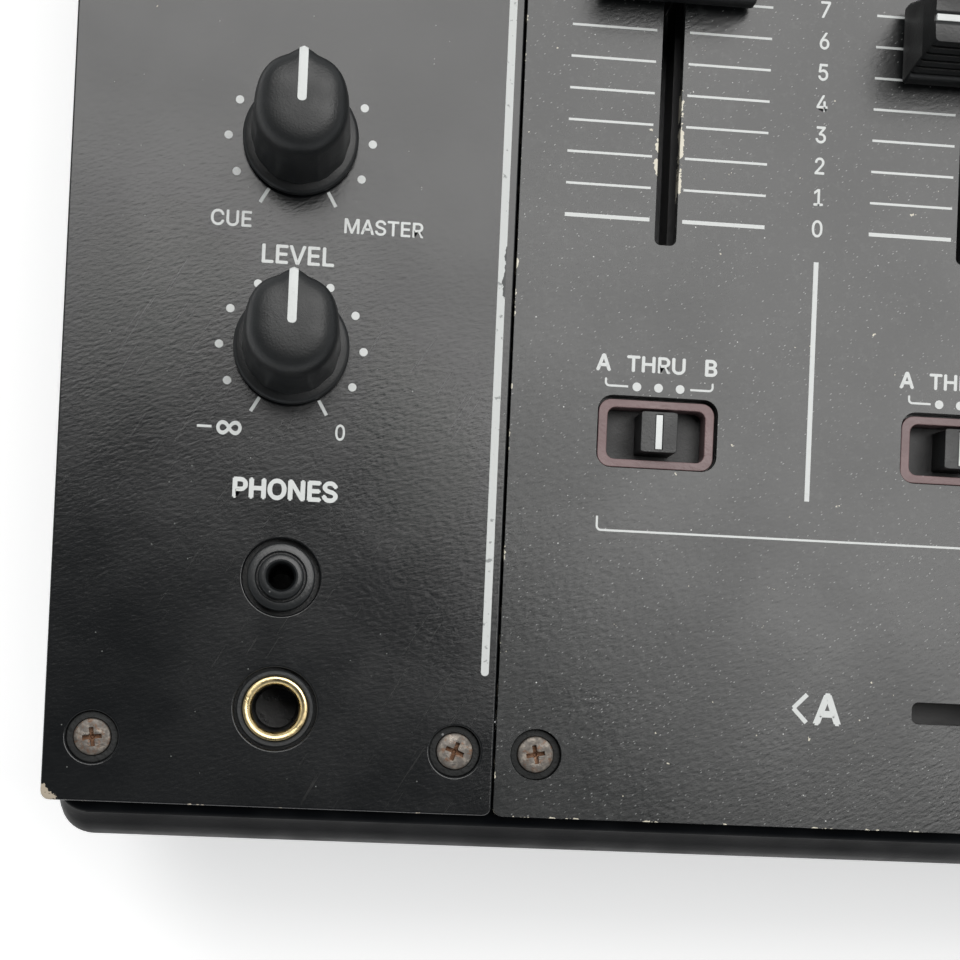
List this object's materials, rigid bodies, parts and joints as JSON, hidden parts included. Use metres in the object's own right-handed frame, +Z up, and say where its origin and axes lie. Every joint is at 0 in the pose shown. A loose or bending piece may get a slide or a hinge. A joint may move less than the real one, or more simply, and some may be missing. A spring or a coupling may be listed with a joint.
{
  "type": "dj mixer",
  "caption": "Table-top club DJ mixer: sheet-metal case with rotary knobs, line faders, a crossfader, assign switches and headphone sockets.",
  "frame": {"origin": "centre of the object's footprint, on the surface its feet stand on", "axes": "+X to the user's right, +Y away from the user to the rear sockets, +Z up"},
  "size_m": [0.333, 0.4154, 0.108],
  "materials": {
    "strip_paint": "fine textured black paint, semi-matt",
    "centre_paint": "dark grey paint with fine silver flakes, semi-matt",
    "case_paint": "black powder coat",
    "bezel_plastic": "smooth satin black",
    "knob_rubber": "soft-touch black",
    "cap_plastic": "satin black",
    "button_plastic": "translucent grey",
    "frame_plastic": "aged purplish grey-brown",
    "jack_plastic": "black",
    "screw_steel": "aged, dull",
    "board": "solder mask",
    "supply_metal": "plain",
    "foot_rubber": "moulded",
    "legend_ink": "white screen print",
    "contact_brass": "worn",
    "lamp_lens": "dark smoked window"
  },
  "bodies": {
    "chassis": {"base_tray": "case_paint", "front_bezel": "bezel_plastic", "left_panel": "strip_paint", "right_panel": "strip_paint", "fader_panel": "centre_paint", "upper_panel": "centre_paint", "rear_panel": "case_paint", "control_board": "board", "fader_board": "board", "rear_jack_board": "board", "power_supply": "supply_metal", "phones_jack_large": "jack_plastic", "phones_jack_small": "jack_plastic", "power_inlet": "jack_plastic", "switch_frame_bar": "frame_plastic", "panel_screw_left_outer": "screw_steel", "panel_screw_left_inner": "screw_steel", "panel_screw_fader_left": "screw_steel", "foot_front_left": "foot_rubber", "foot_front_right": "foot_rubber", "foot_rear_left": "foot_rubber", "foot_rear_right": "foot_rubber"},
    "phones_mix_knob": {"phones_mix_knob": "knob_rubber"},
    "phones_level_knob": {"phones_level_knob": "knob_rubber"},
    "mic_level_knob": {"mic_level_knob": "knob_rubber"},
    "master_level_knob": {"master_level_knob": "knob_rubber"},
    "booth_level_knob": {"booth_level_knob": "knob_rubber"},
    "effect_select_knob": {"effect_select_knob": "knob_rubber"},
    "effect_depth_knob": {"effect_depth_knob": "knob_rubber"},
    "trim_knob_1": {"trim_knob_1": "knob_rubber"},
    "trim_knob_2": {"trim_knob_2": "knob_rubber"},
    "trim_knob_3": {"trim_knob_3": "knob_rubber"},
    "trim_knob_4": {"trim_knob_4": "knob_rubber"},
    "high_knob_1": {"high_knob_1": "knob_rubber"},
    "high_knob_2": {"high_knob_2": "knob_rubber"},
    "high_knob_3": {"high_knob_3": "knob_rubber"},
    "high_knob_4": {"high_knob_4": "knob_rubber"},
    "mid_knob_1": {"mid_knob_1": "knob_rubber"},
    "mid_knob_2": {"mid_knob_2": "knob_rubber"},
    "mid_knob_3": {"mid_knob_3": "knob_rubber"},
    "mid_knob_4": {"mid_knob_4": "knob_rubber"},
    "low_knob_1": {"low_knob_1": "knob_rubber"},
    "low_knob_2": {"low_knob_2": "knob_rubber"},
    "low_knob_3": {"low_knob_3": "knob_rubber"},
    "low_knob_4": {"low_knob_4": "knob_rubber"},
    "channel_fader_1": {"channel_fader_1": "cap_plastic"},
    "channel_fader_2": {"channel_fader_2": "cap_plastic"},
    "channel_fader_3": {"channel_fader_3": "cap_plastic"},
    "channel_fader_4": {"channel_fader_4": "cap_plastic"},
    "crossfader": {"crossfader": "cap_plastic"},
    "assign_switch_1": {"assign_switch_1": "cap_plastic"},
    "assign_switch_2": {"assign_switch_2": "cap_plastic"},
    "assign_switch_3": {"assign_switch_3": "cap_plastic"},
    "assign_switch_4": {"assign_switch_4": "cap_plastic"},
    "cue_button_1": {"cue_button_1": "button_plastic"},
    "cue_button_2": {"cue_button_2": "button_plastic"},
    "cue_button_3": {"cue_button_3": "button_plastic"},
    "cue_button_4": {"cue_button_4": "button_plastic"},
    "effect_button": {"effect_button": "button_plastic"},
    "power_switch": {"power_switch": "cap_plastic"}
  },
  "joints": [
    {"name": "phones_mix_knob_turn", "type": "hinge", "parent": "chassis", "child": "phones_mix_knob", "pos_m": [-0.1351, -0.1094, 0.0915], "axis": [0, 0, -1], "range_deg": [-150, 150]},
    {"name": "phones_level_knob_turn", "type": "hinge", "parent": "chassis", "child": "phones_level_knob", "pos_m": [-0.1351, -0.1385, 0.0915], "axis": [0, 0, -1], "range_deg": [-150, 150]},
    {"name": "mic_level_knob_turn", "type": "hinge", "parent": "chassis", "child": "mic_level_knob", "pos_m": [-0.1351, 0.1427, 0.0915], "axis": [0, 0, -1], "range_deg": [-150, 150]},
    {"name": "master_level_knob_turn", "type": "hinge", "parent": "chassis", "child": "master_level_knob", "pos_m": [0.11815, 0.1627, 0.0915], "axis": [0, 0, -1], "range_deg": [-150, 150]},
    {"name": "booth_level_knob_turn", "type": "hinge", "parent": "chassis", "child": "booth_level_knob", "pos_m": [0.11815, 0.1247, 0.0915], "axis": [0, 0, -1], "range_deg": [-150, 150]},
    {"name": "effect_select_knob_turn", "type": "hinge", "parent": "chassis", "child": "effect_select_knob", "pos_m": [0.11815, -0.0423, 0.0915], "axis": [0, 0, -1], "range_deg": [-150, 150]},
    {"name": "effect_depth_knob_turn", "type": "hinge", "parent": "chassis", "child": "effect_depth_knob", "pos_m": [0.11815, -0.0963, 0.0915], "axis": [0, 0, -1], "range_deg": [-150, 150]},
    {"name": "trim_knob_1_turn", "type": "hinge", "parent": "chassis", "child": "trim_knob_1", "pos_m": [-0.0832, 0.1407, 0.0915], "axis": [0, 0, -1], "range_deg": [-150, 150]},
    {"name": "trim_knob_2_turn", "type": "hinge", "parent": "chassis", "child": "trim_knob_2", "pos_m": [-0.0393, 0.1407, 0.0915], "axis": [0, 0, -1], "range_deg": [-150, 150]},
    {"name": "trim_knob_3_turn", "type": "hinge", "parent": "chassis", "child": "trim_knob_3", "pos_m": [0.0046, 0.1407, 0.0915], "axis": [0, 0, -1], "range_deg": [-150, 150]},
    {"name": "trim_knob_4_turn", "type": "hinge", "parent": "chassis", "child": "trim_knob_4", "pos_m": [0.0485, 0.1407, 0.0915], "axis": [0, 0, -1], "range_deg": [-150, 150]},
    {"name": "high_knob_1_turn", "type": "hinge", "parent": "chassis", "child": "high_knob_1", "pos_m": [-0.0832, 0.0967, 0.0915], "axis": [0, 0, -1], "range_deg": [-150, 150]},
    {"name": "high_knob_2_turn", "type": "hinge", "parent": "chassis", "child": "high_knob_2", "pos_m": [-0.0393, 0.0967, 0.0915], "axis": [0, 0, -1], "range_deg": [-150, 150]},
    {"name": "high_knob_3_turn", "type": "hinge", "parent": "chassis", "child": "high_knob_3", "pos_m": [0.0046, 0.0967, 0.0915], "axis": [0, 0, -1], "range_deg": [-150, 150]},
    {"name": "high_knob_4_turn", "type": "hinge", "parent": "chassis", "child": "high_knob_4", "pos_m": [0.0485, 0.0967, 0.0915], "axis": [0, 0, -1], "range_deg": [-150, 150]},
    {"name": "mid_knob_1_turn", "type": "hinge", "parent": "chassis", "child": "mid_knob_1", "pos_m": [-0.0832, 0.0527, 0.0915], "axis": [0, 0, -1], "range_deg": [-150, 150]},
    {"name": "mid_knob_2_turn", "type": "hinge", "parent": "chassis", "child": "mid_knob_2", "pos_m": [-0.0393, 0.0527, 0.0915], "axis": [0, 0, -1], "range_deg": [-150, 150]},
    {"name": "mid_knob_3_turn", "type": "hinge", "parent": "chassis", "child": "mid_knob_3", "pos_m": [0.0046, 0.0527, 0.0915], "axis": [0, 0, -1], "range_deg": [-150, 150]},
    {"name": "mid_knob_4_turn", "type": "hinge", "parent": "chassis", "child": "mid_knob_4", "pos_m": [0.0485, 0.0527, 0.0915], "axis": [0, 0, -1], "range_deg": [-150, 150]},
    {"name": "low_knob_1_turn", "type": "hinge", "parent": "chassis", "child": "low_knob_1", "pos_m": [-0.0832, 0.0087, 0.0915], "axis": [0, 0, -1], "range_deg": [-150, 150]},
    {"name": "low_knob_2_turn", "type": "hinge", "parent": "chassis", "child": "low_knob_2", "pos_m": [-0.0393, 0.0087, 0.0915], "axis": [0, 0, -1], "range_deg": [-150, 150]},
    {"name": "low_knob_3_turn", "type": "hinge", "parent": "chassis", "child": "low_knob_3", "pos_m": [0.0046, 0.0087, 0.0915], "axis": [0, 0, -1], "range_deg": [-150, 150]},
    {"name": "low_knob_4_turn", "type": "hinge", "parent": "chassis", "child": "low_knob_4", "pos_m": [0.0485, 0.0087, 0.0915], "axis": [0, 0, -1], "range_deg": [-150, 150]},
    {"name": "channel_fader_1_slide", "type": "slide", "parent": "chassis", "child": "channel_fader_1", "axis": [0, 1, 0], "range_m": [-0.036, 0.009]},
    {"name": "channel_fader_2_slide", "type": "slide", "parent": "chassis", "child": "channel_fader_2", "axis": [0, 1, 0], "range_m": [-0.027, 0.018]},
    {"name": "channel_fader_3_slide", "type": "slide", "parent": "chassis", "child": "channel_fader_3", "axis": [0, 1, 0], "range_m": [-0.018, 0.027]},
    {"name": "channel_fader_4_slide", "type": "slide", "parent": "chassis", "child": "channel_fader_4", "axis": [0, 1, 0], "range_m": [-0.0315, 0.0135]},
    {"name": "crossfader_slide", "type": "slide", "parent": "chassis", "child": "crossfader", "axis": [1, 0, 0], "range_m": [-0.0225, 0.0225]},
    {"name": "assign_switch_1_slide", "type": "slide", "parent": "chassis", "child": "assign_switch_1", "axis": [1, 0, 0], "range_m": [-0.00294, 0.00294]},
    {"name": "assign_switch_2_slide", "type": "slide", "parent": "chassis", "child": "assign_switch_2", "axis": [1, 0, 0], "range_m": [-0.00294, 0.00294]},
    {"name": "assign_switch_3_slide", "type": "slide", "parent": "chassis", "child": "assign_switch_3", "axis": [1, 0, 0], "range_m": [-0.00294, 0.00294]},
    {"name": "assign_switch_4_slide", "type": "slide", "parent": "chassis", "child": "assign_switch_4", "axis": [1, 0, 0], "range_m": [-0.00294, 0.00294]},
    {"name": "cue_button_1_press", "type": "slide", "parent": "chassis", "child": "cue_button_1", "axis": [0, 0, -1], "range_m": [0, 0.001], "stiffness_N_per_m": 400, "springref_m": -0.001},
    {"name": "cue_button_2_press", "type": "slide", "parent": "chassis", "child": "cue_button_2", "axis": [0, 0, -1], "range_m": [0, 0.001], "stiffness_N_per_m": 400, "springref_m": -0.001},
    {"name": "cue_button_3_press", "type": "slide", "parent": "chassis", "child": "cue_button_3", "axis": [0, 0, -1], "range_m": [0, 0.001], "stiffness_N_per_m": 400, "springref_m": -0.001},
    {"name": "cue_button_4_press", "type": "slide", "parent": "chassis", "child": "cue_button_4", "axis": [0, 0, -1], "range_m": [0, 0.001], "stiffness_N_per_m": 400, "springref_m": -0.001},
    {"name": "effect_button_press", "type": "slide", "parent": "chassis", "child": "effect_button", "axis": [0, 0, -1], "range_m": [0, 0.001], "stiffness_N_per_m": 400, "springref_m": -0.001},
    {"name": "power_switch_rock", "type": "hinge", "parent": "chassis", "child": "power_switch", "pos_m": [-0.1128, 0.2027, 0.034], "axis": [-1, 0, 0], "range_deg": [0, 20]}
  ]
}
